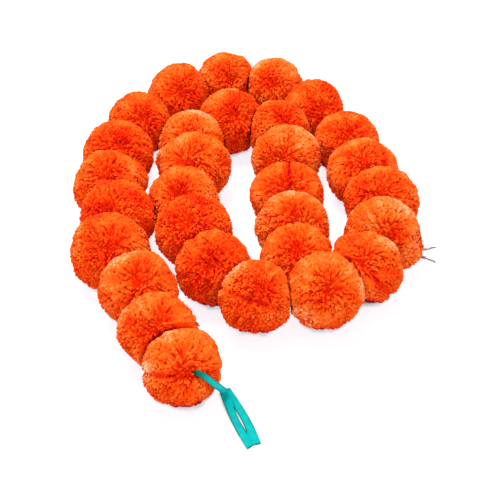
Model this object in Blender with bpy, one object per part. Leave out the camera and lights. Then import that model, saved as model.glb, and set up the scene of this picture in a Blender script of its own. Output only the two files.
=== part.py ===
"""Marigold garland: thirty ruffled cloth blooms threaded on one string, laid down in a doubled loop.

Metres, +Z up.  The surface that the garland lies on is z = 0, and the middle of its outline is the origin.
"""
import math
import random

import bmesh
import bpy
from mathutils import Matrix, Vector

MM = 0.001

# Each bloom's place on the surface and its radius, in millimetres, in threading order.
BLOOMS = [
    (-47, -205, 31.0), (-69, -166, 32.0), (-88, -118, 32.5), (-116, -71, 34.0), (-113, -24, 34.0),
    (-126, 22, 33.5), (-121, 69, 34.0), (-105, 125, 31.5), (-69, 177, 31.5), (-20, 205, 30.5),
    (32, 195, 30.5), (71, 148, 31.0), (100, 92, 32.0), (112, 41, 33.5), (126, -4, 34.0),
    (123, -49, 34.0), (105, -91, 32.0), (68, -120, 33.0), (47, -78, 31.5), (44, -37, 32.5),
    (40, 7, 33.5), (41, 63, 33.5), (34, 114, 31.0), (-14, 128, 32.5), (-51, 92, 32.0),
    (-47, 50, 34.0), (-55, 0, 32.5), (-43, -45, 34.0), (-25, -91, 32.5), (11, -126, 31.5),
]
PRESSED_HEIGHT = 0.94        # height of a bloom's middle, in radii: its own weight flattens the underside
BLOOM_GAP = 0.6 * MM         # between two blooms that press each other flat

# Ruffles: every bloom is a stack of gathered discs, whose rims stand out round the string.
RIM_ANGLES = [29, 53, 78, 103, 128, 152]   # degrees from the string's direction, at the bloom's middle
POINTS_ROUND = 16
RIM_WAVE = 7.5               # degrees that a rim swings to either side of its place, at most
RIM_WAVE_LEAST = 0.5         # share of that swing that every wave has
RIM_LEAN = 2.5               # degrees that a whole rim sits off its place
RIM_RAGGED = 0.06            # of the bloom's radius, that a rim's points fall short
FOLD_DEPTH = 0.26            # of the bloom's radius, between two rims
FOLD_VARIATION = 0.15
DIMPLE_ANGLE = 11.0          # degrees, the pit where the string goes in
DIMPLE_DEPTH = 0.38
UNDERSIDE = (0.78, 0.95)     # how far down a fold faces where it starts to close and where it is flat
SURFACE_BLOCK = (0.5, 0.7, 0.02)

STRING_RADIUS = 0.75 * MM
STRING_CLEARANCE = 0.35 * MM
STRING_STEPS = 72            # points along the string
END_TILT = 0.78              # rise of the first bloom's open pit towards the ribbon
END_PROUD = 0.25 * MM        # of the string above the floor of the pits at its two ends

# The ribbon's stem, from the first bloom's pit over its side to the knot on the surface.
STEM_ROUTE = [
    (-39.3, -218.7, 41.4), (-36.8, -223.2, 45.6), (-33.5, -225.6, 49.8), (-29.2, -225.6, 47.2),
    (-24.7, -225.3, 42.0), (-21.0, -223.7, 35.6), (-17.8, -219.3, 27.0), (-16.2, -213.6, 18.0),
    (-14.3, -208.2, 9.0), (-12.9, -204.6, 3.6),
]
STEM_BENDS_ROUND = Vector((-33, -211, 29)) * MM
STEM_WIDTH = 5.5 * MM
STEM_STEPS = 24
RIBBON_THICKNESS = 0.8 * MM
RIBBON_LIFT = 0.1 * MM       # over the surface

# The ribbon's loop lies flat: two legs side by side with a slit between them.
LOOP_START = Vector((-13.5, -203.0, 0)) * MM
LOOP_END = Vector((8.8, -256.5, 0)) * MM
LOOP_HALF_WIDTHS = (4.8 * MM, 7.2 * MM, 6.0 * MM)    # at the knot, halfway and at the far end
LOOP_ROWS = 14
SLIT_FROM = 0.24             # shares of the loop's length
SLIT_TO = 0.78
SLIT_ROWS = 10
SLIT_HALF_WIDTH = 1.0 * MM
KNOT_PLACE = 0.02
KNOT_SIZE = (10.5 * MM, 6.0 * MM, 4.6 * MM)
KNOT_TURN = math.radians(24)

# Two loose ends of sewing thread, on the surface beside the sixteenth bloom.
THREAD_RADIUS = 0.5 * MM
THREAD_ROUTES = [
    [(136.5, -43.3, 1.5), (143, -40.3, 0.9), (149, -37.3, 0.6), (155, -34.6, 0.6), (162, -32.6, 0.6),
     (169, -31.6, 0.6), (176, -28.8, 0.6)],
    [(137.2, -46.0, 1.5), (143, -44.2, 0.9), (149, -42.4, 0.6), (155, -40.9, 0.6), (160, -40.8, 0.6),
     (166, -44.0, 0.6), (173, -50.0, 0.6)],
]
THREAD_STEPS = 20


def clear_scene():
    for item in list(bpy.data.objects):
        bpy.data.objects.remove(item, do_unlink=True)


def finish(name, base_colour, roughness):
    material = bpy.data.materials.new(name)
    material.use_nodes = True
    shader = material.node_tree.nodes["Principled BSDF"]
    shader.inputs["Base Color"].default_value = (*base_colour, 1.0)
    shader.inputs["Roughness"].default_value = roughness
    shader.inputs["Metallic"].default_value = 0.0
    return material


def add_object(name, data, material):
    item = bpy.data.objects.new(name, data)
    bpy.context.scene.collection.objects.link(item)
    if material is not None:
        item.data.materials.append(material)
    return item


def as_guide(item):
    item.hide_render = True
    item.display_type = "WIRE"
    return item


def smooth_points(route, steps):
    """Points spread evenly by number along a Catmull-Rom curve through the route."""
    ends = [route[0] * 2 - route[1]] + list(route) + [route[-1] * 2 - route[-2]]
    spans = len(route) - 1
    points = []
    for step in range(steps):
        place = step / (steps - 1) * spans
        span = min(int(place), spans - 1)
        t = place - span
        before, start, end, after = ends[span:span + 4]
        points.append(0.5 * (2 * start + (end - before) * t
                             + (2 * before - 5 * start + 4 * end - after) * t * t
                             + (3 * start - before - 3 * end + after) * t * t * t))
    return points


def cord(name, points, radius, material):
    """A round cord: a curve of one open spline with closed ends."""
    curve = bpy.data.curves.new(name, "CURVE")
    curve.dimensions = "3D"
    curve.bevel_depth = radius
    curve.bevel_resolution = 2
    curve.use_fill_caps = True
    spline = curve.splines.new("POLY")
    spline.points.add(len(points) - 1)
    for slot, point in zip(spline.points, points):
        slot.co = (*point, 1.0)
    return add_object(name, curve, material)


class Bloom:
    """One bloom's middle, radius, string direction and the flats that its neighbours press into it."""

    def __init__(self, x, y, radius):
        self.radius = radius * MM
        self.middle = Vector((x * MM, y * MM, self.radius * PRESSED_HEIGHT))
        self.axis = None
        self.walls = []

    def press_against(self, other):
        offset = other.middle - self.middle
        distance = offset.length
        if distance > self.radius + other.radius + BLOOM_GAP:
            return
        share = (distance ** 2 + self.radius ** 2 - other.radius ** 2) / (2 * distance)
        self.walls.append((offset / distance, share - BLOOM_GAP / 2))

    def reach(self, direction):
        """How far the cloth stands out from the middle this way."""
        far = self.radius
        for normal, distance in self.walls:
            facing = direction.dot(normal)
            if facing > 0:
                far = min(far, distance / facing)
        return far


def lay_out_blooms():
    blooms = [Bloom(*place) for place in BLOOMS]
    for bloom in blooms:
        for other in blooms:
            if other is not bloom:
                bloom.press_against(other)
    last = len(blooms) - 1
    for number, bloom in enumerate(blooms):
        before = blooms[max(number - 1, 0)].middle
        after = blooms[min(number + 1, last)].middle
        bloom.axis = (after - before).normalized()
    first = blooms[0]
    first.axis = (first.axis - Vector((0, 0, END_TILT))).normalized()
    return blooms


def string_route(blooms):
    route = [bloom.middle.copy() for bloom in blooms]
    first, last = blooms[0], blooms[-1]
    pit_floor = 1 - DIMPLE_DEPTH
    route.insert(0, first.middle - first.axis * (first.radius * pit_floor + END_PROUD))
    route.append(last.middle + last.axis * (last.radius * pit_floor + END_PROUD))
    return route


def smooth_step(low, high, value):
    t = min(max((value - low) / (high - low), 0.0), 1.0)
    return t * t * (3 - 2 * t)


def ruffle_rows(chance):
    """Rows of (angle from the axis, depth below the rim) for every point round, pole to pole."""
    rims = []
    for place in RIM_ANGLES:
        lean = chance.uniform(-RIM_LEAN, RIM_LEAN)
        row = []
        for point in range(POINTS_ROUND):
            side = 1 if point % 2 else -1
            swing = RIM_WAVE * side * chance.uniform(RIM_WAVE_LEAST, 1.0)
            row.append((place + lean + swing * math.sin(math.radians(place)) ** 0.5,
                        chance.uniform(0.0, RIM_RAGGED)))
        rims.append(row)
    rows = [[(DIMPLE_ANGLE, DIMPLE_DEPTH)] * POINTS_ROUND, rims[0]]
    for lower, upper in zip(rims, rims[1:]):
        fold = []
        for near, far in zip(lower, upper):
            variation = chance.uniform(1 - FOLD_VARIATION, 1 + FOLD_VARIATION)
            fold.append(((near[0] + far[0]) / 2, FOLD_DEPTH * variation))
        rows += [fold, upper]
    rows.append([(180 - DIMPLE_ANGLE, DIMPLE_DEPTH)] * POINTS_ROUND)
    return rows


def bloom_mesh(name, bloom, chance):
    side = bloom.axis.cross(Vector((0, 0, 1))).normalized()
    up = side.cross(bloom.axis)
    shape = bmesh.new()

    def place(angle, turn, depth):
        polar = math.radians(angle)
        direction = (bloom.axis * math.cos(polar)
                     + (side * math.cos(turn) + up * math.sin(turn)) * math.sin(polar))
        open_share = 1.0 - smooth_step(*UNDERSIDE, -direction.z)
        far = bloom.reach(direction) * (1.0 - depth * open_share)
        return shape.verts.new(bloom.middle + direction * far)

    rows = []
    twist = chance.uniform(0.0, 1.0)
    for row_points in ruffle_rows(chance):
        row = []
        for point, (angle, depth) in enumerate(row_points):
            turn = 2 * math.pi * (point + twist) / POINTS_ROUND
            row.append(place(angle, turn, depth))
        rows.append(row)
    front = place(0.0, 0.0, DIMPLE_DEPTH)
    back = place(180.0, 0.0, DIMPLE_DEPTH)
    for point in range(POINTS_ROUND):
        following = (point + 1) % POINTS_ROUND
        shape.faces.new((front, rows[0][point], rows[0][following]))
        shape.faces.new((back, rows[-1][following], rows[-1][point]))
        for near, far in zip(rows, rows[1:]):
            corners = (near[point], far[point], far[following], near[following])
            if point % 2:
                shape.faces.new((corners[0], corners[1], corners[2]))
                shape.faces.new((corners[0], corners[2], corners[3]))
            else:
                shape.faces.new((corners[0], corners[1], corners[3]))
                shape.faces.new((corners[1], corners[2], corners[3]))
    bmesh.ops.recalc_face_normals(shape, faces=shape.faces)
    mesh = bpy.data.meshes.new(name)
    shape.to_mesh(mesh)
    shape.free()
    return mesh


def make_cutters(points):
    """The string's channel and the surface below, which are cut out of every bloom."""
    collection = bpy.data.collections.new("cutters")
    bpy.context.scene.collection.children.link(collection)
    wider = cord("channel_guide", points, STRING_RADIUS + STRING_CLEARANCE, None)
    channel = bpy.data.objects.new("string_channel", bpy.data.meshes.new_from_object(wider))
    bpy.data.objects.remove(wider, do_unlink=True)
    block = bmesh.new()
    bmesh.ops.create_cube(block, size=1.0)
    bmesh.ops.scale(block, vec=SURFACE_BLOCK, verts=block.verts)
    bmesh.ops.translate(block, vec=(0, 0, -SURFACE_BLOCK[2] / 2), verts=block.verts)
    mesh = bpy.data.meshes.new("surface_below")
    block.to_mesh(mesh)
    block.free()
    surface = bpy.data.objects.new("surface_below", mesh)
    for item in (channel, surface):
        collection.objects.link(as_guide(item))
    return collection


def make_blooms(blooms, cutters):
    for number, bloom in enumerate(blooms, 1):
        name = f"bloom_{number:02d}"
        chance = random.Random(number)
        shade = chance.uniform(0.85, 1.1)
        cloth = finish(name + "_cloth", (0.95, 0.13 * shade, 0.006), 0.85)
        item = add_object(name, bloom_mesh(name, bloom, chance), cloth)
        cut = item.modifiers.new("string and surface", "BOOLEAN")
        cut.operation = "DIFFERENCE"
        cut.solver = "EXACT"
        cut.operand_type = "COLLECTION"
        cut.collection = cutters


def strip_mesh(name, points, half_widths, facings, thickness):
    """A flat strip along the points, whose flat side faces the given way at each."""
    last = len(points) - 1
    shape = bmesh.new()
    rings = []
    for step, (point, half_width, facing) in enumerate(zip(points, half_widths, facings)):
        along = (points[min(step + 1, last)] - points[max(step - 1, 0)]).normalized()
        across = along.cross(facing).normalized() * half_width
        out = across.cross(along).normalized() * thickness / 2
        corners = (-across - out, across - out, across + out, -across + out)
        rings.append([shape.verts.new(point + corner) for corner in corners])
    for near, far in zip(rings, rings[1:]):
        for corner in range(4):
            after = (corner + 1) % 4
            shape.faces.new((near[corner], near[after], far[after], far[corner]))
    shape.faces.new(rings[0])
    shape.faces.new(rings[-1])
    bmesh.ops.recalc_face_normals(shape, faces=shape.faces)
    mesh = bpy.data.meshes.new(name)
    shape.to_mesh(mesh)
    shape.free()
    return mesh


def loop_half_width(share):
    """A smooth curve through the three half-widths."""
    start, half, end = LOOP_HALF_WIDTHS
    return (start * (1 - share) * (1 - 2 * share) + half * 4 * share * (1 - share)
            + end * share * (2 * share - 1))


def knot_mesh(middle):
    """The flat knot where the stem and both legs of the loop meet."""
    shape = bmesh.new()
    bmesh.ops.create_icosphere(shape, subdivisions=2, radius=0.5)
    bmesh.ops.scale(shape, vec=KNOT_SIZE, verts=shape.verts)
    bmesh.ops.rotate(shape, cent=(0, 0, 0), matrix=Matrix.Rotation(KNOT_TURN, 3, "Z"), verts=shape.verts)
    bmesh.ops.translate(shape, vec=middle, verts=shape.verts)
    mesh = bpy.data.meshes.new("knot")
    shape.to_mesh(mesh)
    shape.free()
    return mesh


def make_ribbon():
    up = Vector((0, 0, 1))
    lift = Vector((0, 0, RIBBON_LIFT + RIBBON_THICKNESS / 2))
    shares = [row / LOOP_ROWS for row in range(LOOP_ROWS + 1)]
    loop_points = [LOOP_START.lerp(LOOP_END, share) + lift for share in shares]
    loop = strip_mesh("hanging_ribbon", loop_points, [loop_half_width(share) for share in shares],
                      [up] * len(loop_points), RIBBON_THICKNESS)
    ribbon = add_object("hanging_ribbon", loop, finish("turquoise_satin", (0.0, 0.56, 0.56), 0.4))

    slit_places = [row / SLIT_ROWS for row in range(SLIT_ROWS + 1)]
    slit_points = [loop_points[0].lerp(loop_points[-1], SLIT_FROM + (SLIT_TO - SLIT_FROM) * place)
                   for place in slit_places]
    slit_halves = [SLIT_HALF_WIDTH * (0.1 + 0.9 * math.sin(math.pi * place)) for place in slit_places]
    slit = strip_mesh("loop_slit", slit_points, slit_halves, [up] * len(slit_points),
                      3 * RIBBON_THICKNESS)
    cut = ribbon.modifiers.new("slit between the legs", "BOOLEAN")
    cut.operation = "DIFFERENCE"
    cut.solver = "EXACT"
    cut.object = as_guide(add_object("loop_slit", slit, None))

    stem_points = smooth_points([Vector(point) * MM for point in STEM_ROUTE], STEM_STEPS)
    stem_facings = [point - STEM_BENDS_ROUND for point in stem_points]
    stem = strip_mesh("stem", stem_points, [STEM_WIDTH / 2] * STEM_STEPS, stem_facings, RIBBON_THICKNESS)
    knot_middle = LOOP_START.lerp(LOOP_END, KNOT_PLACE) + Vector((0, 0, RIBBON_LIFT + KNOT_SIZE[2] / 2))
    parts = bpy.data.collections.new("ribbon_parts")
    bpy.context.scene.collection.children.link(parts)
    for name, mesh in (("stem", stem), ("knot", knot_mesh(knot_middle))):
        parts.objects.link(as_guide(bpy.data.objects.new(name, mesh)))
    join = ribbon.modifiers.new("stem and knot", "BOOLEAN")
    join.operation = "UNION"
    join.solver = "EXACT"
    join.operand_type = "COLLECTION"
    join.collection = parts


def make_thread_ends():
    cotton = finish("grey_thread", (0.42, 0.33, 0.36), 0.9)
    for number, route in enumerate(THREAD_ROUTES, 1):
        points = smooth_points([Vector(point) * MM for point in route], THREAD_STEPS)
        cord(f"thread_end_{number}", points, THREAD_RADIUS, cotton)


def main():
    clear_scene()
    blooms = lay_out_blooms()
    points = smooth_points(string_route(blooms), STRING_STEPS)
    cord("string", points, STRING_RADIUS, finish("string_cotton", (0.75, 0.72, 0.68), 0.8))
    make_blooms(blooms, make_cutters(points))
    make_ribbon()
    make_thread_ends()


main()
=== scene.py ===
"""Marigold garland: the finish of its cloth blooms, satin hanging ribbon, string and loose threads."""
import math

import bmesh
import bpy
import numpy as np
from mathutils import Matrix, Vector


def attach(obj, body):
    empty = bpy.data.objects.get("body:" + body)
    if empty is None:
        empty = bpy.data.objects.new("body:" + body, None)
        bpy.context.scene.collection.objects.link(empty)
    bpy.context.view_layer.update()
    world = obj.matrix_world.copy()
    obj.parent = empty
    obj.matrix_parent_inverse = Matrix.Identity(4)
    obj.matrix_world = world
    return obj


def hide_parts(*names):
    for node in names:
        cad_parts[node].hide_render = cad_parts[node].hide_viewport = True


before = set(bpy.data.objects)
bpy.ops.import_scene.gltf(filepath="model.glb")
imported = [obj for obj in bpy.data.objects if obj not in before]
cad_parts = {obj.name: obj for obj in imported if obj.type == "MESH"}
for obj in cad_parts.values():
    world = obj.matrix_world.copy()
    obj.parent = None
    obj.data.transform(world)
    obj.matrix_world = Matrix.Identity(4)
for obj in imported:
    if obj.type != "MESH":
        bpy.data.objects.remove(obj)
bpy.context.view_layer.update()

# The view: from above the ribbon's end of the strand, looking along +Y and down onto the laid loop, from
# far enough away that the blooms at both ends of the loop look nearly alike in size.
CAMERA_PLACE = (0.0059, -0.7628, 0.6461)
CAMERA_DOWN = 41.5          # degrees below the horizon
CAMERA_LENS = 76.8          # millimetres, on a sensor of 36

camera_data = bpy.data.cameras.new("view")
camera_data.sensor_width = 36.0
camera_data.lens = CAMERA_LENS
camera_data.clip_start = 0.01
camera_data.clip_end = 20.0
camera = bpy.data.objects.new("view", camera_data)
camera.location = CAMERA_PLACE
camera.rotation_euler = (math.radians(90.0 - CAMERA_DOWN), 0.0, 0.0)
bpy.context.scene.collection.objects.link(camera)
bpy.context.scene.camera = camera

# Two loose ends of sewing thread, left where the strand was finished off beside the sixteenth bloom.
# Each is a soft two-ply cotton thread of about a millimetre, lying limp on the surface with one ply worn
# short, and a stray strand curls back from the second.
MM = 0.001
THREAD_WIDTH = 1.0 * MM
THREAD_ROUTES = [
    [(136.5, -43.3, 1.5), (143, -40.3, 0.9), (149, -37.3, 0.6), (155, -34.6, 0.6), (162, -32.6, 0.6),
     (169, -31.6, 0.6), (176, -28.8, 0.6)],
    [(137.2, -46.0, 1.5), (143, -44.2, 0.9), (149, -42.4, 0.6), (155, -40.9, 0.6), (160, -40.8, 0.6),
     (166, -44.0, 0.6), (173, -50.0, 0.6)],
]
STRAY_ROUTE = [(165.8, -44.0, 0.8), (165.5, -44.9, 1.0), (164.1, -44.9, 0.9), (162.2, -43.8, 0.6),
               (160.4, -42.8, 0.6), (158.8, -42.6, 0.6)]
THREAD_STEPS = 90
PLY_TURNS_PER_METRE = 90
PLY_SIDES = 7
PLY_FLATNESS = 1.3                      # a ply's width over its height, as it lies
LONG_PLY = (0.36 * THREAD_WIDTH, 0.36 * THREAD_WIDTH)     # radius, and how far off the thread's middle
SHORT_PLY = (0.78 * THREAD_WIDTH, 0.10 * THREAD_WIDTH)
STRAY_RADIUS = 0.28 * THREAD_WIDTH
SHORT_PLY_ENDS = 0.80                   # share of the thread's length
SHORT_PLY_BESIDE = (-0.9 * MM, 0.7 * MM)    # how far off the long one it lies midway, in each thread
BESIDE_AT_START = 0.15                  # share of that swing which the ply has made where it comes out
LONG_PLY_WORN = 0.80                    # share of the length from which a ply is worn dark
STRAY_WORN = 0.5
NOT_WORN = 2.0
WORN_RUN = 0.1                          # share of the length over which it darkens
THREAD_TONES = [(0.0, (0.26, 0.12, 0.13)), (1.0, (0.52, 0.26, 0.28))]
THREAD_WORN_TONE = (0.035, 0.028, 0.045)


def clamp(value):
    return max(0.0, min(1.0, value))


def smooth_points(route, steps):
    """Points in metres along a smooth curve through the route, which is in millimetres."""
    route = [Vector(point) * MM for point in route]
    ends = [route[0] * 2 - route[1]] + route + [route[-1] * 2 - route[-2]]
    spans = len(route) - 1
    points = []
    for step in range(steps):
        place = step / (steps - 1) * spans
        span = min(int(place), spans - 1)
        t = place - span
        before, start, end, after = ends[span:span + 4]
        points.append(0.5 * (2 * start + (end - before) * t
                             + (2 * before - 5 * start + 4 * end - after) * t * t
                             + (3 * start - before - 3 * end + after) * t * t * t))
    return points


def length_of(points):
    return sum((b - a).length for a, b in zip(points, points[1:]))


def add_piece(name, mesh, material, replaced):
    """A piece of the garland, which stands for the frame's node replaced."""
    piece = bpy.data.objects.new(name, mesh)
    bpy.context.scene.collection.objects.link(piece)
    mesh.materials.append(material)
    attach(piece, "root")
    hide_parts(replaced)
    return piece


def mesh_of(name, shape):
    """The built shape as a smooth mesh, with its faces turned outwards."""
    bmesh.ops.recalc_face_normals(shape, faces=shape.faces)
    mesh = bpy.data.meshes.new(name)
    shape.to_mesh(mesh)
    shape.free()
    mesh.shade_smooth()
    return mesh


def close_tube(shape, rings):
    """Faces between the rings of points, and over both ends."""
    for near, far in zip(rings, rings[1:]):
        for k in range(len(near)):
            after = (k + 1) % len(near)
            shape.faces.new((near[k], near[after], far[after], far[k]))
    shape.faces.new(rings[0][::-1])
    shape.faces.new(rings[-1])


def nodes_of(material):
    material.use_nodes = True
    tree = material.node_tree
    return tree.nodes, tree.links, tree.nodes["Principled BSDF"]


def add_ramp(nodes, stops):
    """A colour ramp through the stops, each a position and a colour."""
    ramp = nodes.new("ShaderNodeValToRGB")
    elements = ramp.color_ramp.elements
    for element, (position, colour) in zip(elements, (stops[0], stops[-1])):
        element.position = position
        element.color = (*colour, 1.0)
    for position, colour in stops[1:-1]:
        elements.new(position).color = (*colour, 1.0)
    return ramp


def add_shade(nodes, links, tones, attribute, colour):
    """The tones, turned towards the colour where the mesh's attribute is high."""
    amount = nodes.new("ShaderNodeAttribute")
    amount.attribute_name = attribute
    shade = nodes.new("ShaderNodeMix")
    shade.data_type = "RGBA"
    shade.clamp_factor = False
    shade.inputs["B"].default_value = (*colour, 1.0)
    links.new(amount.outputs["Fac"], shade.inputs["Factor"])
    links.new(tones.outputs["Color"], shade.inputs["A"])
    return shade


def thread_material():
    material = bpy.data.materials.new("mauve_grey_thread")
    nodes, links, shader = nodes_of(material)
    shader.inputs["Roughness"].default_value = 0.9
    shader.inputs["Sheen Weight"].default_value = 0.3
    place = nodes.new("ShaderNodeTexCoord")
    fibres = nodes.new("ShaderNodeTexNoise")
    fibres.inputs["Scale"].default_value = 900.0
    tones = add_ramp(nodes, THREAD_TONES)
    worn = add_shade(nodes, links, tones, "worn", THREAD_WORN_TONE)
    links.new(place.outputs["Object"], fibres.inputs["Vector"])
    links.new(fibres.outputs["Fac"], tones.inputs["Fac"])
    links.new(worn.outputs["Result"], shader.inputs["Base Color"])
    return material


def add_ply(shape, worn_layer, points, radius, apart, turn, worn_from, beside=0.0):
    """One ply as a closed tube that winds round the points and darkens from the share worn_from on.

    It is apart from the points all along, and up to beside from them, along Y, midway.
    """
    last = len(points) - 1
    run = 0.0
    rings = []
    for step, point in enumerate(points):
        near, far = points[max(step - 1, 0)], points[min(step + 1, last)]
        run += (point - near).length
        share = step / last
        along = (far - near).normalized()
        side = along.cross(Vector((0, 0, 1))).normalized()
        up = side.cross(along)
        wound = 2 * math.pi * (PLY_TURNS_PER_METRE * run + turn)
        centre = point + (side * math.cos(wound) + up * math.sin(wound)) * apart
        centre.y += beside * math.sin(math.pi * min(1.0, BESIDE_AT_START + share))
        ring = []
        for k in range(PLY_SIDES):
            around = 2 * math.pi * k / PLY_SIDES
            spoke = side * math.cos(around) * PLY_FLATNESS + up * math.sin(around)
            ring.append(shape.verts.new(centre + spoke * radius))
            ring[-1][worn_layer] = clamp((share - worn_from) / WORN_RUN)
        rings.append(ring)
    close_tube(shape, rings)


def twisted_thread(points, beside, stray):
    """Two plies wound round each other, one worn short, and perhaps a stray strand, as one mesh."""
    shape = bmesh.new()
    worn_layer = shape.verts.layers.float.new("worn")
    short = points[:int(len(points) * SHORT_PLY_ENDS)]
    add_ply(shape, worn_layer, points, *LONG_PLY, 0.0, LONG_PLY_WORN)
    add_ply(shape, worn_layer, short, *SHORT_PLY, 0.5, NOT_WORN, beside)
    if stray:
        add_ply(shape, worn_layer, stray, STRAY_RADIUS, 0.0, 0.0, STRAY_WORN)
    return mesh_of("loose_thread", shape)


thread_cotton = thread_material()
strays = (None, smooth_points(STRAY_ROUTE, THREAD_STEPS // 2))
for number, (route, beside, stray) in enumerate(zip(THREAD_ROUTES, SHORT_PLY_BESIDE, strays), 1):
    line = smooth_points(route, THREAD_STEPS)
    mesh = twisted_thread(line, beside, stray)
    piece = add_piece(f"loose_thread_{number}", mesh, thread_cotton, f"thread_end_{number}")
    tuple(line[0])
    length_of(line)
    [tuple(point) for point in line]

# The hanging ribbon: narrow satin ribbon, doubled, tied to the string's end in the first bloom's pit.
# The stem comes out over the bloom's side to a flat knot, and the loop's two legs lie side by side, with
# a slit between them and a pressed fold at the far end.
STEM_ROUTE = [
    (-39.3, -218.7, 41.4), (-36.8, -223.2, 45.6), (-33.5, -225.6, 49.8), (-29.2, -225.6, 47.2),
    (-24.7, -225.3, 42.0), (-21.0, -223.7, 35.6), (-17.8, -219.3, 27.0), (-16.2, -213.6, 18.0),
    (-14.3, -208.2, 9.0), (-12.9, -204.6, 3.6),
]
STEM_BENDS_ROUND = Vector((-33, -211, 29)) * MM
STEM_WIDTHS = (3.4 * MM, 5.4 * MM)      # drawn together in the bloom, and spread flat by the knot
STEM_SPREAD_AT = 0.625                  # share of the stem's length at which it is flat
STEM_STEPS = 60
STEM_CROWN = 0.5 * MM                   # how much higher the ribbon's middle lies than its edges
STEM_SAG = Vector((0, -0.55, -0.6)) * MM    # how far the satin hangs below its route, doubled half-way
LOOP_START = Vector((-13.5, -203.0, 0)) * MM
LOOP_END = Vector((8.8, -256.5, 0)) * MM
LOOP_HALF_WIDTHS = (4.7 * MM, 7.0 * MM, 5.9 * MM)
LOOP_STEPS = 48
SLIT = (0.28, 0.78)          # where along the loop the legs part, as shares of its length
SLIT_HALF_WIDTH = 0.8 * MM
LEGS_OVERLAP = 1.3 * MM      # of each leg past the middle line, where there is no slit
LEG_CROWN = 0.2 * MM
LEG_LEVEL = 0.55 * MM        # of the satin's middle over the surface
LEG_WAVE = 0.35 * MM
LEG_BULGE = 0.3 * MM
RIGHT_LEG_LONGER = 2.4 * MM  # the right leg starts this much before the knot
TURN_WIDTH = 1.8 * MM        # of the pressed fold at the far end, where the ribbon turns back
TURN_PLACE = (-0.4 * MM, 0.35 * MM)     # along the loop from its end, and up
TURN_INSET = 0.3 * MM        # how much narrower than the loop's end it is at each side
TURN_CROWN = 0.1 * MM
TURN_SLANT = 0.4 * MM        # how far the far edge slants back at each side
TURN_NOTCH = 1.3 * MM        # how far it is drawn in between the legs
TURN_FROM = 0.8              # share of the loop's length from which its end is slanted and drawn in
# painted shade over the whole pressed fold at the far end
TURN_PAINTED_SHADE = 0.8
KNOT_WIDTH = 2.4 * MM
KNOT_HALF_LENGTH = 2.7 * MM
KNOT_PLACE = (0.6 * MM, -1.9 * MM, 1.2 * MM)    # along and across the loop from its start, and up
KNOT_BULGE = 0.9 * MM        # how much higher its middle lies than its ends
KNOT_CROWN = 0.4 * MM
KNOT_ROWS = (-1.0, -0.8, -0.5, -0.2, 0.2, 0.5, 0.8, 1.0)      # across the knot, from edge to edge
SATIN_THICKNESS = 0.35 * MM
RIBBON_COLUMNS = 9
SATIN_TONES = [(0.3, (0.0, 0.295, 0.295)), (0.75, (0.0, 0.39, 0.385))]
# the dark that the satin turns towards as painted shade; a factor below zero turns it lighter instead, a
# painted highlight
SATIN_PAINTED_SHADE = (0.0, 0.070, 0.035)


def satin_material():
    material = bpy.data.materials.new("turquoise_satin")
    nodes, links, shader = nodes_of(material)
    shader.inputs["Roughness"].default_value = 0.5
    shader.inputs["Specular IOR Level"].default_value = 0.03
    place = nodes.new("ShaderNodeTexCoord")
    soft = nodes.new("ShaderNodeTexNoise")
    soft.inputs["Scale"].default_value = 140.0
    soft.inputs["Detail"].default_value = 3.0
    tones = add_ramp(nodes, SATIN_TONES)
    weave = nodes.new("ShaderNodeTexNoise")
    weave.inputs["Scale"].default_value = 2600.0
    bump = nodes.new("ShaderNodeBump")
    bump.inputs["Strength"].default_value = 0.15
    bump.inputs["Distance"].default_value = 0.0002
    # the edge attribute holds the ribbon's painted shade and painted highlights
    edge = add_shade(nodes, links, tones, "edge", SATIN_PAINTED_SHADE)
    links.new(place.outputs["Object"], soft.inputs["Vector"])
    links.new(place.outputs["Object"], weave.inputs["Vector"])
    links.new(soft.outputs["Fac"], tones.inputs["Fac"])
    links.new(edge.outputs["Result"], shader.inputs["Base Color"])
    links.new(weave.outputs["Fac"], bump.inputs["Height"])
    links.new(bump.outputs["Normal"], shader.inputs["Normal"])
    return material


def add_band(shape, painted_shade_layer, points, facings, widths, crown, dark):
    """A crowned satin band along the points, with two faces and thin edges, painted darker as shade where
    dark says, or lighter as a painted highlight where it is below zero.
    """
    last = len(points) - 1
    rows = []
    for step, (point, facing, width) in enumerate(zip(points, facings, widths)):
        along = (points[min(step + 1, last)] - points[max(step - 1, 0)]).normalized()
        across = along.cross(facing).normalized()
        out = across.cross(along).normalized()
        top, under = [], []
        for column in range(RIBBON_COLUMNS):
            place = 2 * column / (RIBBON_COLUMNS - 1) - 1
            lift = crown * (1 - place * place)
            middle = point + across * place * width / 2 + out * lift
            top.append(shape.verts.new(middle + out * SATIN_THICKNESS / 2))
            under.append(shape.verts.new(middle - out * SATIN_THICKNESS / 2))
            top[-1][painted_shade_layer] = under[-1][painted_shade_layer] = dark(step / last, place)
        rows.append(top + under[::-1])
    close_tube(shape, rows)


def loop_half_width(share):
    """A smooth curve through the three half-widths."""
    start, half, end = LOOP_HALF_WIDTHS
    return (start * (1 - share) * (1 - 2 * share) + half * 4 * share * (1 - share)
            + end * share * (2 * share - 1))


def slit_half_width(share):
    """Half the slit's width, below nothing where the legs overlap."""
    place = (share - SLIT[0]) / (SLIT[1] - SLIT[0])
    return SLIT_HALF_WIDTH * math.sin(math.pi * place) if 0 < place < 1 else -LEGS_OVERLAP


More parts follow.
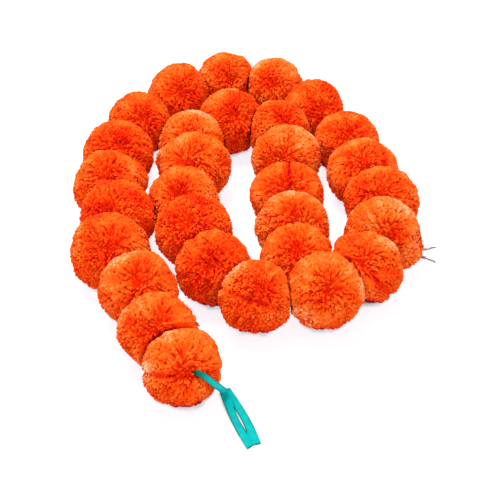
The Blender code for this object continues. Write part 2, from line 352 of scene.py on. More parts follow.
def leg_points(side):
    """The middle line of the left (-1) or right (1) leg, from the knot to the far end."""
    along = LOOP_END - LOOP_START
    across = Vector((-along.y, along.x, 0)).normalized()
    longer = 0 if side < 0 else RIGHT_LEG_LONGER
    points = []
    for step in range(LOOP_STEPS):
        share = step / (LOOP_STEPS - 1)
        offset = (loop_half_width(share) + slit_half_width(share)) / 2
        start = -along.normalized() * longer * max(0, 1 - share / 0.1)
        wave = LEG_WAVE * math.sin(2 * math.pi * share * 1.5 + side) * math.sin(math.pi * share)
        level = LEG_LEVEL + wave + LEG_BULGE * math.sin(math.pi * share)
        points.append(LOOP_START + along * share + across * side * offset + Vector((0, 0, level)) + start)
    return points


def leg_widths():
    shares = [step / (LOOP_STEPS - 1) for step in range(LOOP_STEPS)]
    return [loop_half_width(share) - slit_half_width(share) for share in shares]


def stem_painted_shade_and_highlight(share, place):
    """Painted shade where the stem comes out of the folds and along its edges, and a painted highlight down
    its middle.
    """
    deep = clamp((0.45 - share) / 0.26)
    bright = 0.5 * clamp((share - 0.30) / 0.25) * (1 - place * place)
    return max(deep, 0.9 * abs(place) ** 5) - bright


def leg_painted_shade_and_highlight(side):
    """Painted shade along the outer edge and the slit, hardly where the legs touch, and painted light by the
    knot that lifts the stem's shade off the left leg.
    """
    def dark(share, place):
        touching = place * side < 0 and not SLIT[0] < share < SLIT[1]
        bright = 0.5 * max(0.0, 1 - share / 0.4) if side < 0 else 0.0
        return (0.0 if touching else abs(place) ** 9) - bright
    return dark


# painted shade, the same all over the pressed fold
def turn_painted_shade(share, place):
    return TURN_PAINTED_SHADE


# painted shade along the knot's edges
def knot_painted_shade(share, place):
    return 0.15 * abs(place) ** 9


shape = bmesh.new()
# the edge attribute: painted shade on the ribbon, and painted highlights where it is below zero
painted_shade_layer = shape.verts.layers.float.new("edge")
up = Vector((0, 0, 1))
loop_along = (LOOP_END - LOOP_START).normalized()
loop_across = Vector((-loop_along.y, loop_along.x, 0))

stem_line = [point + STEM_SAG * (1 + math.sin(math.pi * step / (STEM_STEPS - 1)))
             for step, point in enumerate(smooth_points(STEM_ROUTE, STEM_STEPS))]
stem_widths = [STEM_WIDTHS[0] + (STEM_WIDTHS[1] - STEM_WIDTHS[0]) * min(1, step / STEM_STEPS / STEM_SPREAD_AT)
               for step in range(STEM_STEPS)]
add_band(shape, painted_shade_layer, stem_line, [point - STEM_BENDS_ROUND for point in stem_line], stem_widths,
         STEM_CROWN, stem_painted_shade_and_highlight)

left_leg, right_leg = leg_points(-1), leg_points(1)
for side, leg in ((-1, left_leg), (1, right_leg)):
    add_band(shape, painted_shade_layer, leg, [up] * LOOP_STEPS, leg_widths(), LEG_CROWN, leg_painted_shade_and_highlight(side))

# the far end, where the ribbon turns from one leg to the other under a thin pressed fold, painted dark all
# over as shade
end_half = LOOP_HALF_WIDTHS[2]
turn_line = [LOOP_END + loop_across * (end_half - TURN_INSET) * k / 6 + loop_along * TURN_PLACE[0]
             + up * TURN_PLACE[1] for k in range(-6, 7)]
add_band(shape, painted_shade_layer, turn_line, [up] * len(turn_line), [TURN_WIDTH] * len(turn_line), TURN_CROWN,
         turn_painted_shade)
for vert in shape.verts:
    beside = vert.co - LOOP_START
    share = beside.dot(loop_along) / (LOOP_END - LOOP_START).length
    if share > TURN_FROM and vert.co.z < 5 * MM:
        place = beside.dot(loop_across) / end_half
        drawn_in = TURN_SLANT * place + TURN_NOTCH * (1 - min(1, abs(place))) ** 2
        vert.co -= loop_along * drawn_in * ((share - TURN_FROM) / (1 - TURN_FROM)) ** 2

# the knot, pressed flat where the stem meets the legs
knot_line = [LOOP_START + loop_along * KNOT_PLACE[0] + loop_across * (KNOT_PLACE[1] + KNOT_HALF_LENGTH * k)
             + up * (KNOT_PLACE[2] + KNOT_BULGE * (1 - k * k)) for k in KNOT_ROWS]
add_band(shape, painted_shade_layer, knot_line, [up] * len(knot_line), [KNOT_WIDTH] * len(knot_line), KNOT_CROWN,
         knot_painted_shade)

ribbon = add_piece("satin_ribbon", mesh_of("satin_ribbon", shape), satin_material(),
                   "hanging_ribbon")
ribbon_line = stem_line + left_leg + turn_line[1:-1] + right_leg[::-1]
tuple(stem_line[0])
length_of(ribbon_line)
[tuple(point) for point in ribbon_line]

# The string: plain twisted cotton, threaded through the middle of every bloom, with its ends in the pits
# of the first and the last. It is seen only deep between two blooms, so it keeps its plain round shape.
STRING_TONES = [(0.0, (0.45, 0.40, 0.36)), (1.0, (0.80, 0.76, 0.70))]

string_cotton = bpy.data.materials.new("twisted_cotton")
nodes, links, shader = nodes_of(string_cotton)
shader.inputs["Roughness"].default_value = 0.85
place = nodes.new("ShaderNodeTexCoord")
twist = nodes.new("ShaderNodeTexWave")
twist.inputs["Scale"].default_value = 420.0
twist.inputs["Distortion"].default_value = 1.5
tones = add_ramp(nodes, STRING_TONES)
links.new(place.outputs["Object"], twist.inputs["Vector"])
links.new(twist.outputs["Fac"], tones.inputs["Fac"])
links.new(tones.outputs["Color"], shader.inputs["Base Color"])
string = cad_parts["string"]
string.data.materials.clear()
string.data.materials.append(string_cotton)

# The blooms: thin orange polyester, cut in pinked discs that are gathered hard on the string, so that they
# ruffle and fan out into a soft ball. The folds lean away from one heart, low between them, that faces up
# and to the front, and each bloom presses its neighbours and the surface flat where they touch.
#     across, along, radius (mm), heart's turn and lift (degrees), fan of long folds (0 to 1), paleness
BLOOMS = [
    (-47, -205, 31.0, 22, 46, 0.8, 0.05), (-69, -166, 32.0, 0, 55, 0.5, 0.03),
    (-88, -118, 32.5, 18, 54, 0.8, 0.03), (-116, -71, 34.0, 10, 50, 0.3, -0.02),
    (-113, -24, 34.0, -20, 55, 0.3, -0.09), (-126, 22, 33.5, 10, 55, 0.5, 0.0),
    (-121, 69, 34.0, 20, 55, 0.3, -0.09), (-105, 125, 31.5, 20, 45, 0.4, -0.05),
    (-69, 177, 31.5, 15, 35, 0.5, -0.02), (-20, 205, 30.5, 20, 35, 0.5, 0.03),
    (32, 195, 30.5, -5, 35, 0.6, 0.07), (71, 148, 31.0, 30, 40, 0.5, -0.06),
    (100, 92, 32.0, 0, 48, 0.5, -0.02), (112, 41, 33.5, 5, 55, 0.6, 0.03),
    (126, -4, 34.0, -15, 55, 0.4, 0.0), (123, -49, 34.0, -2, 31, 0.9, 0.08),
    (105, -91, 32.0, -20, 55, 0.9, 0.0), (68, -120, 33.0, 0, 45, 1.0, 0.09),
    (47, -78, 31.5, 0, 55, 0.5, 0.04), (44, -37, 32.5, 10, 55, 0.7, 0.07),
    (40, 7, 33.5, 5, 50, 0.8, 0.0), (41, 63, 33.5, -15, 38, 0.5, 0.09),
    (34, 114, 31.0, 35, 60, 0.4, -0.02), (-14, 128, 32.5, 20, 45, 0.2, -0.05),
    (-51, 92, 32.0, 0, 55, 0.6, 0.11), (-47, 50, 34.0, 0, 45, 0.5, 0.04),
    (-55, 0, 32.5, -15, 50, 0.6, 0.04), (-43, -45, 34.0, -25, 60, 0.1, -0.08),
    (-25, -91, 32.5, -5, 50, 0.1, -0.08), (11, -126, 31.5, 20, 60, 0.3, 0.0),
]
PRESSED_HEIGHT = 0.94        # height of a bloom's middle, in radii: its own weight flattens the underside
BLOOM_GAP = 0.3 * MM         # between two blooms that press each other
FLOOR_GAP = 0.3 * MM         # left under a bloom's flat underside for its crumpled cloth
# Where one bloom lies over its neighbour: upper, lower, how far their touching faces tilt (degrees) and
# shift towards the lower (mm)
LYING_OVER = [(22, 21, 28, 0.0), (1, 2, 0, 3.0), (18, 30, 0, 1.0)]

# Where the cloth is fuller or flatter than a ball: bloom, which way, how wide (degrees), how much (mm)
SWELLS = [
    (1, (0.65, 0.5, 0.6), 34, 2.6), (1, (-0.1, -0.8, -0.6), 40, -2.4), (1, (0.95, -0.4, -0.1), 24, -2.2),
    (1, (0.5, -0.7, -0.5), 25, -1.6), (1, (0.33, -0.66, 0.67), 15, 2.6),
    (2, (1.0, 0.1, 0.1), 40, 1.8), (2, (-0.7, -0.6, -0.5), 35, -4.2),
    (3, (1.0, 0.0, 0.0), 35, 1.2), (3, (0.4, 0.6, 0.6), 25, 2.0), (3, (-0.7, -0.6, -0.5), 30, -1.6),
    (4, (-0.7, -0.6, -0.4), 35, 1.0), (4, (0.9, 0.3, 0.0), 30, 1.4), (4, (-0.95, -0.1, 0.2), 30, -1.0),
    (5, (1.0, 0.2, 0.0), 30, 1.8),
    (6, (-0.9, 0.0, 0.2), 30, -1.6), (6, (0.9, 0.4, 0.1), 30, 4.2), (6, (-0.75, 0.3, 0.6), 25, -1.8),
    (8, (-0.2, 0.6, 0.75), 30, 0.8), (9, (0.3, 0.6, 0.75), 35, 2.6), (9, (-0.9, 0.3, 0.2), 25, -2.2),
    (10, (0.6, 0.4, 0.5), 25, 1.2), (11, (0.8, 0.3, 0.3), 30, -1.2),
    (12, (0.3, 0.6, 0.75), 40, 2.0), (12, (-0.3, 0.7, 0.7), 22, 1.5), (13, (0.1, 0.6, 0.8), 30, -1.2),
    (14, (0.9, 0.2, 0.3), 25, 1.0), (15, (-0.95, 0.2, 0.0), 30, 1.2), (15, (0.5, 0.5, 0.6), 25, 0.8),
    (16, (0.85, -0.45, -0.3), 30, 4.2),
    (17, (-0.7, 0.5, 0.4), 30, 4.0), (17, (-0.1, -0.8, -0.6), 35, -4.0),
    (17, (-0.35, -0.75, -0.55), 25, -2.5), (17, (0.95, 0.0, 0.2), 25, -1.5),
    (18, (0.0, -0.75, -0.65), 40, -1.6), (18, (0.75, -0.5, -0.4), 25, -1.4),
    (19, (-0.95, 0.0, 0.0), 30, 1.2), (20, (-0.95, 0.0, 0.0), 30, 1.0), (21, (-0.95, 0.0, 0.0), 30, 1.0),
    (22, (0.8, -0.4, -0.2), 25, -1.5), (26, (-0.9, 0.3, 0.0), 30, 4.0), (26, (0.9, 0.1, 0.1), 30, 1.2),
    (28, (-0.9, 0.3, 0.0), 30, 1.5), (28, (-0.8, -0.5, 0.0), 25, 2.0),
    (29, (0.0, -0.75, -0.65), 40, -0.6), (30, (0.0, -0.75, -0.65), 40, -2.4),
]

# Long creases where the cloth is drawn in: bloom, what it lies square to, how far off the middle (share of
# the radius), the side it is on, how deep (share of the radius)
CREASES = [
    (1, (0.0, 0.66, 0.75), -0.08, (-0.5, -0.7, 0.5), 0.10),
    (14, (0.8, 0.3, -0.5), 0.0, (0.3, -0.6, 0.7), 0.05),
    (17, (0.75, 0.35, 0.55), 0.05, (0.4, -0.9, 0.1), 0.10),
    (21, (1.0, 0.0, 0.0), 0.05, (0.0, 0.2, 1.0), 0.07),
    (30, (0.3, 0.6, 0.7), -0.05, (-0.2, -0.7, 0.7), 0.06),
]
CREASE_WIDTH = 0.055         # share of the radius over which a crease fades out to either side

# Painted highlights, the cloth's sheen where the light catches it: bloom, which way it lies, how wide
# (degrees) and how strong
PAINTED_SHEEN_PATCHES = [
    (1, (-0.2, 0.25, 0.95), 22, 0.20), (1, (-0.9, -0.35, 0.35), 22, 0.24), (2, (-0.95, 0.0, 0.3), 30, 0.20),
    (3, (-0.5, 0.3, 0.8), 28, 0.32), (6, (-0.5, 0.4, 0.75), 30, 0.16), (11, (0.5, 0.5, 0.7), 34, 0.20),
    (16, (0.55, 0.3, 0.8), 30, 0.20), (16, (0.6, -0.7, -0.1), 30, 0.22), (17, (0.6, 0.2, 0.8), 30, 0.26),
    (18, (-0.6, -0.75, -0.2), 30, 0.34), (18, (0.95, -0.1, 0.2), 26, 0.28), (20, (0.0, 0.6, 0.8), 28, 0.14),
    (22, (0.4, 0.3, 0.85), 36, 0.12), (24, (0.0, 0.6, 0.8), 24, 0.22), (25, (0.1, 0.5, 0.85), 34, 0.24),
    (30, (-0.6, 0.3, 0.7), 28, 0.28),
]

FOLDS = 3600                 # in one bloom
FOLD_HALF_WIDTH = 1.15 * MM
FOLD_LEVELS = np.array((0.0, 0.75, 1.0))[None, :, None]     # shares of the way from root to tip
FOLD_ACROSS = np.array((-1.0, 0.0, 1.0))[None, None, :]     # from one edge of a fold to the other
FOLD_GRID = (FOLDS, FOLD_LEVELS.size, FOLD_ACROSS.size)
FLUFF = 0.9 * MM             # how far the soft cloth stands out past the bloom's plain radius
FOLD_TIP = 0.985             # share of the cloth's reach at which the tallest tips end
FOLD_ROOT = 0.76             # share of the reach at which a fold's root is gathered
CORE = 0.89                  # share of the reach that the gathered middle fills
CORE_HOLLOW = 0.15           # how much less of it at the heart
CORE_ROWS = 20
CORE_COLUMNS = 40
CALM_WAY = np.array((0.0, 0.60, 0.80))    # the side on which the cloth was combed smooth
LEAN = (2.8 * MM, 3.2 * MM)               # how far a tip leans over, and how much more where it is smooth
LEAN_BY_HEART = (1.5 * MM, 2.5 * MM)      # how much more near the heart, and there where it is smooth
TIPS_UNEVEN = 0.044          # share of the reach by which a crumpled fold's tip may fall short
TIP_SWAY = 1.6 * MM          # how far a tip curls aside
RIM_FRAY = 0.35 * MM
CRUMPLE_LENGTH = 3.4 * MM
CRUMPLE_HEIGHT = (0.45 * MM, 0.10 * MM)   # where the cloth is crumpled, and where it is smooth
CLOTH_ROUGHNESS = 0.20 * MM
HEART_WIDTH = 0.45           # radians
HEART_DEPTH = 0.09           # share of the reach by which the cloth is drawn in at the heart
STREAK_WIDTH = 9.0 * MM      # between the broad streaks that run out from the heart
RIB_WIDTH = 4.0 * MM         # between the fine ribs of the smooth side

# Tones run from 0, the darkest red between two folds, to 1, the palest, a painted highlight. They are mostly
# painted light: painted shade deep between the folds and low down, painted light on the tips and upper sides.
# painted shade on the gathered middle and at the folds' roots, seen deep between the folds
CORE_TONE = 0.21
ROOT_TONE = 0.24
# painted light, growing towards each fold's tip
TIP_PAINTED_LIGHT = 0.215
# painted shade in a crease
CREASE_PAINTED_SHADE = 0.25
# painted shade low on a bloom's side, and a dark painted contact shadow along its underside
SIDE_PAINTED_SHADE = 0.16           # low on a bloom's side
UNDERSIDE_PAINTED_SHADE = 0.48
# painted shade between blooms, where a neighbour presses in
PRESSED_PAINTED_SHADE = 0.5         # where the cloth is pressed in by a neighbour
SHADED_FOLDS = (0.28, 0.16)  # share of the folds that lie in others' shade, and how much darker they are
PALER_FOLDS = (0.16, 0.16)  # share of the folds that are paler towards their tips, away from the heart, and how much lighter
# the darkest stops are painted shade under a bloom, between blooms and in creases; the palest are painted
# highlights
CLOTH_TONES = [
    (0.0, (0.32, 0.0, 0.012)), (0.08, (0.80, 0.006, 0.0)), (0.28, (0.90, 0.043, 0.0)),
    (0.50, (0.93, 0.107, 0.004)), (0.68, (0.96, 0.180, 0.019)), (0.85, (1.0, 0.30, 0.105)),
    (1.0, (1.0, 0.45, 0.25)),
]
DYE_UNEVEN = 0.3             # how far the dye's tone wanders
LET_THROUGH = 0.22           # share of the light that shines through the thin cloth


def unit(vector):
    return vector / np.linalg.norm(vector)


def units(vectors):
    return vectors / np.linalg.norm(vectors, axis=-1, keepdims=True)


def compass(turn, lift):
    """The way that lies turn degrees right of the front and lift degrees above level."""
    turn, lift = math.radians(turn), math.radians(lift)
    return np.array((math.cos(lift) * math.sin(turn), -math.cos(lift) * math.cos(turn), math.sin(lift)))


def angle_from(way, directions):
    return np.arccos(np.clip(directions @ way, -1, 1))


def smooth_step(value):
    value = np.clip(value, 0, 1)
    return value * value * (3 - 2 * value)


def pressed_face(number, bloom, beside, other):
    """The flat that the other bloom presses into this one: which way it faces, and how far off it is."""
    offset = other["middle"] - bloom["middle"]
    distance = np.linalg.norm(offset)
    share = (distance ** 2 + bloom["radius"] ** 2 - other["radius"] ** 2) / (2 * distance)
    tilt, shift = 0.0, 0.0
    for upper, lower, degrees, moved in LYING_OVER:
        if (number, beside) == (upper, lower):
            tilt, shift = -math.radians(degrees), moved * MM
        elif (number, beside) == (lower, upper):
            tilt, shift = math.radians(degrees), -moved * MM
    normal = unit(offset / distance * math.cos(tilt) + np.array((0.0, 0.0, math.sin(tilt))))
    return normal, (share + shift) * math.cos(tilt) - BLOOM_GAP / 2


def lay_out_blooms():
    """Every bloom's middle, radius, heart, cloth, creases and the flats pressed into it."""
    blooms = []
    for x, y, radius, turn, lift, fan, paleness in BLOOMS:
        middle = np.array((x * MM, y * MM, radius * MM * PRESSED_HEIGHT))
        floor = (np.array((0.0, 0.0, -1.0)), middle[2] - FLOOR_GAP)
        blooms.append({"middle": middle, "radius": radius * MM, "heart": compass(turn, lift), "fan": fan,
                       "paleness": paleness, "sheen_patches": [], "swells": [], "creases": [], "flats": [floor]})
    for number, bloom in enumerate(blooms, 1):
        for beside, other in enumerate(blooms, 1):
            apart = np.linalg.norm(other["middle"] - bloom["middle"])
            if other is not bloom and apart <= bloom["radius"] + other["radius"] + 2 * FLUFF:
                bloom["flats"].append(pressed_face(number, bloom, beside, other))
    for number, way, wide, strength in PAINTED_SHEEN_PATCHES:
        blooms[number - 1]["sheen_patches"].append((unit(np.array(way)), math.radians(wide), strength))
    for number, way, wide, height in SWELLS:
        blooms[number - 1]["swells"].append((unit(np.array(way)), math.radians(wide), height * MM))
    for number, square, offset, side, depth in CREASES:
        blooms[number - 1]["creases"].append((unit(np.array(square)), offset, unit(np.array(side)), depth))
    return blooms


def reach(bloom, directions):
    """How far the cloth stands out from the bloom's middle each way."""
    far = np.full(directions.shape[:-1], bloom["radius"] + FLUFF)
    for way, spread, height in bloom["swells"]:
        far = far + height * smooth_step(1.2 - angle_from(way, directions) / spread)
    for normal, distance in bloom["flats"]:
        facing = directions @ normal
        pressed = np.where(facing > 1e-6, distance / np.maximum(facing, 1e-6), np.inf)
        far = np.minimum(far, pressed)
    return far


def crumple(chance, points, length, parts=12):
    """A smooth irregular height between about -1 and 1 over points, with bumps about a length apart."""
    total = np.zeros(points.shape[:-1])
    for _ in range(parts):
        way = unit(chance.normal(0, 1, 3)) * 2 * np.pi / (length * chance.uniform(0.7, 1.5))
        total += np.cos(points @ way + chance.uniform(0, 2 * np.pi))
    return total * math.sqrt(2 / parts)


def spread_directions(chance, count):
    """Unit vectors spread evenly all round, each a little off its place."""
    step = np.arange(count) + 0.5
    height = 1 - 2 * step / count
    turn = step * math.pi * (3 - math.sqrt(5))
    ring = np.sqrt(1 - height ** 2)
    ways = np.stack([ring * np.cos(turn), ring * np.sin(turn), height], axis=-1)
    return units(ways + chance.normal(0, 0.35 * math.sqrt(4 / count), (count, 3)))


def each_fold(chance, low, high):
    """One random number for each fold, the same all over it."""
    return chance.uniform(low, high, FOLDS)[:, None, None]


def calm_share(chance, bloom, ways, polar):
    """Where the cloth lies smooth (1), mostly above the heart, and where it is crumpled (0)."""
    combed = 0.42 + 0.95 * (ways @ unit(CALM_WAY) - 0.25)
    combed = combed + 0.30 * crumple(chance, ways, 1.1) + 1.1 * (bloom["fan"] - 0.5)
    return smooth_step(combed) * smooth_step((polar - 0.15) / 0.4)


def leaning_ways(chance, bloom, ways, calm):
    """The way in which each fold leans, and the way across it: away from the heart, some of them astray."""
    wide = units(np.cross(bloom["heart"][None, :] + chance.normal(0, 0.02, ways.shape), ways))
    away = np.cross(wide, ways)
    astray = (chance.normal(0, 1, FOLDS) * (0.70 - 0.58 * calm)
              + (0.8 - 0.65 * calm) * crumple(chance, ways, 0.9))
    ahead, aside = np.cos(astray)[:, None], np.sin(astray)[:, None]
    return away * ahead + wide * aside, wide * ahead - away * aside


def ridges(chance, spots, half, calm):
    """How far the cloth of each fold stands off its own sheet: a soft ridge, crumpled towards the tip."""
    ridge = half * FOLD_LEVELS ** 0.6 * (each_fold(chance, -0.3, 0.8) * (1 - FOLD_ACROSS ** 2)
                                         + each_fold(chance, -0.5, 0.5) * FOLD_ACROSS)
    ridge = ridge * (1 - 0.80 * calm)
    rough, smooth = CRUMPLE_HEIGHT
    ridge = ridge + FOLD_LEVELS * (rough + (smooth - rough) * calm) * crumple(chance, spots, CRUMPLE_LENGTH)
    return ridge + chance.normal(0, CLOTH_ROUGHNESS, FOLD_GRID) * FOLD_LEVELS * (1 - 0.7 * calm)


def fold_sheets(chance, bloom, ways, polar, calm):
    """Every fold as a bent sheet: the way to each of its points, and how far out it is (share of reach)."""
    size = bloom["radius"]
    away, wide = leaning_ways(chance, bloom, ways, calm)
    near = smooth_step((1.0 - polar) / 0.75)
    lean = LEAN[0] + LEAN[1] * calm + (LEAN_BY_HEART[0] + LEAN_BY_HEART[1] * calm) * near
    lean = lean * smooth_step(polar / 0.22) * smooth_step((2.7 - polar) / 0.9)
    rim = smooth_step(1 - np.abs(polar - 1.5) / 0.7)
    lean, near, rim, calm = (share[:, None, None] for share in (lean, near, rim, calm))

    # the sheet's own curve, which rises and leans over, and the slopes of both
    lean = lean * each_fold(chance, 0.6, 1.3)
    lower = each_fold(chance, 0.0, TIPS_UNEVEN) * (1 - 0.93 * calm) * (1 - 0.45 * rim)
    height = FOLD_TIP - lower - FOLD_ROOT
    bent = 1.7 + 1.3 * calm
    rise = FOLD_ROOT + height * (1 - (1 - FOLD_LEVELS) ** bent)
    slide = lean * FOLD_LEVELS ** 2.2 * (1 - 0.12 * FOLD_LEVELS * FOLD_ACROSS ** 2)
    rise_rate = height * size * bent * (1 - FOLD_LEVELS) ** (bent - 1)
    slide_rate = lean * 2.2 * FOLD_LEVELS ** 1.2 + 0.4 * MM
    steep = np.sqrt(rise_rate ** 2 + slide_rate ** 2)
    half = FOLD_HALF_WIDTH * each_fold(chance, 0.6, 1.4) * (1 - 0.12 * near + 0.15 * calm)
    half = half * (0.50 + 0.50 * FOLD_LEVELS)

    # the ridge stands square to that curve
    spots = ways[:, None, None, :] * size + wide[:, None, None, :] * (FOLD_ACROSS * half)[..., None]
    ridge = ridges(chance, spots, half, calm)
    sway = each_fold(chance, -1, 1) * FOLD_LEVELS ** 2 * TIP_SWAY
    frayed = chance.normal(0, RIM_FRAY, FOLD_GRID) * FOLD_LEVELS ** 8
    along = slide - ridge * rise_rate / steep + frayed
    direction = units(ways[:, None, None, :]
                      + wide[:, None, None, :] * ((FOLD_ACROSS * half + sway) / size)[..., None]
                      + away[:, None, None, :] * (along / size)[..., None])
    droop = (0.024 - 0.020 * np.maximum(0.8 * rim, calm)) * FOLD_LEVELS ** 4 * FOLD_ACROSS ** 2
    return direction, np.minimum(rise * (1 - droop) + ridge * slide_rate / steep / size, 1.0)


def furrows(chance, bloom, direction, turned, calm):
    """What runs out from the heart: broad streaks, the deep furrows between them, and fine ribs."""
    size, heart = bloom["radius"], bloom["heart"]
    beside = units(direction - (direction @ heart)[..., None] * heart)
    streak = crumple(chance, size * (0.75 * beside + 0.30 * turned[..., None] * heart), STREAK_WIDTH)
    ribs = calm * crumple(chance, size * (beside + 0.16 * turned[..., None] * heart), RIB_WIDTH)
    deep = np.exp(-(streak / 0.22) ** 2) * np.sin(np.clip(turned, 0, 1.5))
    return streak, deep, ribs


def fold_tones(chance, bloom, direction, turned, calm):
    """The cloth's tone without its furrows, mostly painted light: painted shade at the roots, low on the
    sides, on the undersides and in folds in others' shade, painted light on the tips and ridges and on the
    upper side away from the heart, and some folds paler or darker at random.
    """
    lit = 0.1 + 0.9 * smooth_step((direction[..., 2] + 0.35) / 0.9)
    tone = ROOT_TONE + TIP_PAINTED_LIGHT * FOLD_LEVELS ** 3 + 0.05 * FOLD_LEVELS * (1 - FOLD_ACROSS ** 2)
    tone = tone + each_fold(chance, -0.07, 0.09) * FOLD_LEVELS * (1 - 0.35 * calm)
    # painted light on the upper side, away from the heart
    tone = tone + 0.20 * lit * smooth_step((turned - 0.25) / 1.1) * FOLD_LEVELS ** 3
    tone = tone + 0.06 * crumple(chance, direction, 0.8, 8)
    # painted shade low on the side, and a painted contact shadow along the underside
    tone = tone - SIDE_PAINTED_SHADE * smooth_step((-0.15 - direction[..., 2]) / 0.5)
    tone = tone - UNDERSIDE_PAINTED_SHADE * smooth_step((-0.54 - direction[..., 2]) / 0.18)
    share, darker = SHADED_FOLDS
    shaded = darker * (each_fold(chance, 0, 1) < share) * (1 - 0.8 * calm)
    share, lighter = PALER_FOLDS
    paler = lighter * (each_fold(chance, 0, 1) < share) * (1 - calm) * FOLD_LEVELS
    tone = tone - shaded * smooth_step((1.2 - turned) / 0.6) + paler * smooth_step((turned - 0.5) / 0.5)
    return tone + bloom["paleness"]


def gathered_middle(bloom):
    """The closed middle that fills the gaps between the folds' roots: its points and faces."""
    polar, turn = np.meshgrid(np.linspace(0.02, np.pi - 0.02, CORE_ROWS),
                              np.linspace(0, 2 * np.pi, CORE_COLUMNS, endpoint=False), indexing="ij")
    ways = np.stack([np.sin(polar) * np.cos(turn), np.sin(polar) * np.sin(turn), np.cos(polar)], axis=-1)
    hollow = 1 - CORE_HOLLOW * smooth_step(1 - angle_from(bloom["heart"], ways) / 0.9)
    points = bloom["middle"] + ways * (CORE * hollow * reach(bloom, ways))[..., None]
    index = np.arange(polar.size).reshape(polar.shape)
    after = np.roll(index, -1, axis=1)
    faces = np.stack([index[:-1], after[:-1], after[1:], index[1:]], axis=-1)
    return points.reshape(-1, 3), faces.reshape(-1, 4)


def toned_mesh(name, points, faces, tone):
    """A smooth mesh of four-sided faces, with the tone kept at its points."""
    mesh = bpy.data.meshes.new(name)
    mesh.vertices.add(len(points))
    mesh.vertices.foreach_set("co", points.ravel())
    mesh.loops.add(faces.size)
    mesh.loops.foreach_set("vertex_index", faces.ravel())
    mesh.polygons.add(len(faces))
    mesh.polygons.foreach_set("loop_start", np.arange(0, faces.size, 4))
    mesh.update(calc_edges=True)
    mesh.attributes.new("tone", "FLOAT", "POINT").data.foreach_set("value", tone)
    mesh.validate()
    mesh.shade_smooth()
    return mesh


def bloom_mesh(name, bloom, number):
    """One bloom: its folds on the gathered middle, as one mesh."""
    chance = np.random.default_rng(number)
    ways = spread_directions(chance, FOLDS)
    polar = angle_from(bloom["heart"], ways)
    calm = calm_share(chance, bloom, ways, polar)
    direction, out = fold_sheets(chance, bloom, ways, polar, calm)
    turned = angle_from(bloom["heart"], direction)
    calm = calm[:, None, None]

    streak, deep, ribs = furrows(chance, bloom, direction, turned, calm)
    relief = 1 + 0.010 * crumple(chance, direction, 1.1, 8) + 0.014 * streak
    relief = relief - 0.035 * deep * FOLD_LEVELS + 0.005 * ribs
    # painted shade in the deep furrows, and painted light on the raised streaks and ribs
    tone = fold_tones(chance, bloom, direction, turned, calm) + 0.04 * streak - 0.14 * deep + 0.045 * ribs
    for square, offset, side, depth in bloom["creases"]:
        drawn_in = np.exp(-((direction @ square - offset) / CREASE_WIDTH) ** 2)
        drawn_in = drawn_in * smooth_step((direction @ side - 0.15) / 0.4)
        relief = relief - depth * drawn_in * FOLD_LEVELS
        # painted shade in the creases
        tone = tone - CREASE_PAINTED_SHADE * drawn_in
    far = reach(bloom, direction)
    # painted shade where a neighbour presses in
    tone = tone - PRESSED_PAINTED_SHADE * smooth_step((1 - far / (bloom["radius"] + FLUFF)) / 0.22)
    for way, spread, strength in bloom["sheen_patches"]:
        # painted highlight of sheen, stronger on some folds than others
        worn = smooth_step(1.3 - angle_from(way, direction) / spread)
        tone = tone + strength * FOLD_LEVELS * worn * each_fold(chance, 0.2, 1.9)

    out = out * (1 - HEART_DEPTH * smooth_step(1 - turned / HEART_WIDTH))
    out = out * np.minimum(far * relief, far * 1.01)
    points = (bloom["middle"] + direction * out[..., None]).reshape(-1, 3)
    index = np.arange(len(points)).reshape(FOLD_GRID)
    faces = np.stack([index[:, :-1, :-1], index[:, :-1, 1:], index[:, 1:, 1:], index[:, 1:, :-1]], axis=-1)
    middle_points, middle_faces = gathered_middle(bloom)
    return toned_mesh(name, np.concatenate([points, middle_points]),
                      np.concatenate([faces.reshape(-1, 4), middle_faces + len(points)]),
                      np.concatenate([tone.reshape(-1), np.full(len(middle_points), CORE_TONE)]))


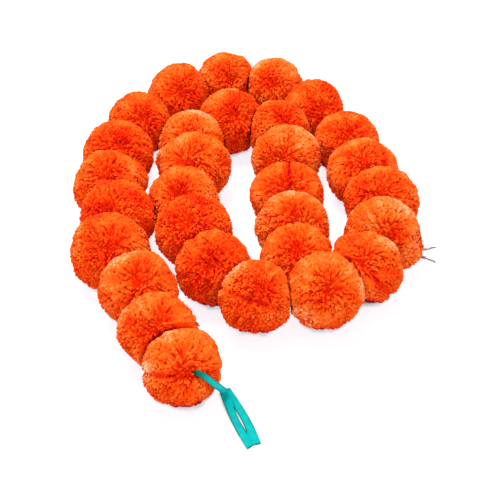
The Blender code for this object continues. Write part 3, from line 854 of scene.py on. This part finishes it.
def cloth_material(name):
    """Thin matt polyester: turned deep red between the folds by painted shade, orange on the folds, and pale
    on the tips by painted highlights.
    """
    material = bpy.data.materials.new(name)
    nodes, links, shader = nodes_of(material)
    shader.inputs["Roughness"].default_value = 0.8
    shader.inputs["Specular IOR Level"].default_value = 0.08
    shader.inputs["Sheen Weight"].default_value = 0.05
    shader.inputs["Sheen Roughness"].default_value = 0.4
    shader.inputs["Sheen Tint"].default_value = (1.0, 0.60, 0.35, 1.0)
    tone = nodes.new("ShaderNodeAttribute")
    tone.attribute_name = "tone"
    place = nodes.new("ShaderNodeTexCoord")
    dye = nodes.new("ShaderNodeTexNoise")
    dye.inputs["Scale"].default_value = 90.0
    dye.inputs["Detail"].default_value = 5.0
    dye.inputs["Roughness"].default_value = 0.6
    uneven = nodes.new("ShaderNodeMath")
    uneven.operation = "MULTIPLY_ADD"
    uneven.inputs[1].default_value = DYE_UNEVEN
    uneven.inputs[2].default_value = -DYE_UNEVEN / 2
    total = nodes.new("ShaderNodeMath")
    tones = add_ramp(nodes, CLOTH_TONES)
    links.new(place.outputs["Object"], dye.inputs["Vector"])
    links.new(dye.outputs["Fac"], uneven.inputs[0])
    links.new(tone.outputs["Fac"], total.inputs[0])
    links.new(uneven.outputs["Value"], total.inputs[1])
    links.new(total.outputs["Value"], tones.inputs["Fac"])
    links.new(tones.outputs["Color"], shader.inputs["Base Color"])
    weave = nodes.new("ShaderNodeTexVoronoi")
    weave.inputs["Scale"].default_value = 330.0
    weave.inputs["Detail"].default_value = 1.0
    bump = nodes.new("ShaderNodeBump")
    bump.inputs["Strength"].default_value = 0.18
    bump.inputs["Distance"].default_value = 0.001
    links.new(place.outputs["Object"], weave.inputs["Vector"])
    links.new(weave.outputs["Distance"], bump.inputs["Height"])
    links.new(bump.outputs["Normal"], shader.inputs["Normal"])
    through = nodes.new("ShaderNodeBsdfTranslucent")
    blend = nodes.new("ShaderNodeMixShader")
    blend.inputs["Fac"].default_value = LET_THROUGH
    links.new(tones.outputs["Color"], through.inputs["Color"])
    links.new(shader.outputs["BSDF"], blend.inputs[1])
    links.new(through.outputs["BSDF"], blend.inputs[2])
    links.new(blend.outputs["Shader"], nodes["Material Output"].inputs["Surface"])
    return material


for number, bloom in enumerate(lay_out_blooms(), 1):
    node = f"bloom_{number:02d}"
    mesh = bloom_mesh(node + "_ruffles", bloom, number)
    add_piece(node + "_ruffles", mesh, cloth_material(node + "_polyester"), node)

# The floor, the lights and the sky: a plain pale floor under a wide soft light from above and behind, with a
# weaker warm one from the front. The floor glows a little, and its glow is dimmed where a bloom is close
# above it, a painted contact shadow.
FLOOR_HALF_SIZE = 4.0
FLOOR_COLOUR = (0.22, 0.215, 0.19, 1.0)
FLOOR_GLOW = (0.84, 0.83, 0.87, 1.0)
SHADE_REACH = 5 * MM         # how near a bloom dims the floor's glow
SHADE_POWER = 1.5
SKY_STRENGTH = 0.87

floor_corners = [(x * FLOOR_HALF_SIZE, y * FLOOR_HALF_SIZE, 0)
                 for x, y in ((-1, -1), (1, -1), (1, 1), (-1, 1))]
floor_mesh = bpy.data.meshes.new("floor")
floor_mesh.from_pydata(floor_corners, [], [(0, 1, 2, 3)])
floor_material = bpy.data.materials.new("pale_floor")
nodes, links, shader = nodes_of(floor_material)
shader.inputs["Base Color"].default_value = FLOOR_COLOUR
shader.inputs["Emission Color"].default_value = FLOOR_GLOW
shader.inputs["Roughness"].default_value = 0.9
painted_contact_shadow = nodes.new("ShaderNodeAmbientOcclusion")
painted_contact_shadow.inputs["Distance"].default_value = SHADE_REACH
glow = nodes.new("ShaderNodeMath")
glow.operation = "POWER"
glow.inputs[1].default_value = SHADE_POWER
links.new(painted_contact_shadow.outputs["AO"], glow.inputs[0])
links.new(glow.outputs["Value"], shader.inputs["Emission Strength"])
floor_mesh.materials.append(floor_material)
floor = bpy.data.objects.new("floor", floor_mesh)
bpy.context.scene.collection.objects.link(floor)


def add_light(name, place, size, power, colour=(1.0, 1.0, 1.0)):
    """A square light that faces the middle of the floor."""
    data = bpy.data.lights.new(name, "AREA")
    data.shape = "SQUARE"
    data.size = size
    data.energy = power
    data.color = colour
    light = bpy.data.objects.new(name, data)
    light.location = place
    light.rotation_euler = (-Vector(place)).to_track_quat("-Z", "Y").to_euler()
    bpy.context.scene.collection.objects.link(light)


add_light("overhead", (-0.30, 0.40, 1.65), 0.7, 34.0)
add_light("front", (0.3, -1.6, 1.2), 1.4, 13.0, (1.0, 0.88, 0.80))
world = bpy.data.worlds.new("studio")
world.use_nodes = True
world.node_tree.nodes["Background"].inputs["Color"].default_value = (1.0, 1.0, 1.0, 1.0)
world.node_tree.nodes["Background"].inputs["Strength"].default_value = SKY_STRENGTH
bpy.context.scene.world = world
bpy.context.scene.view_settings.view_transform = "Standard"
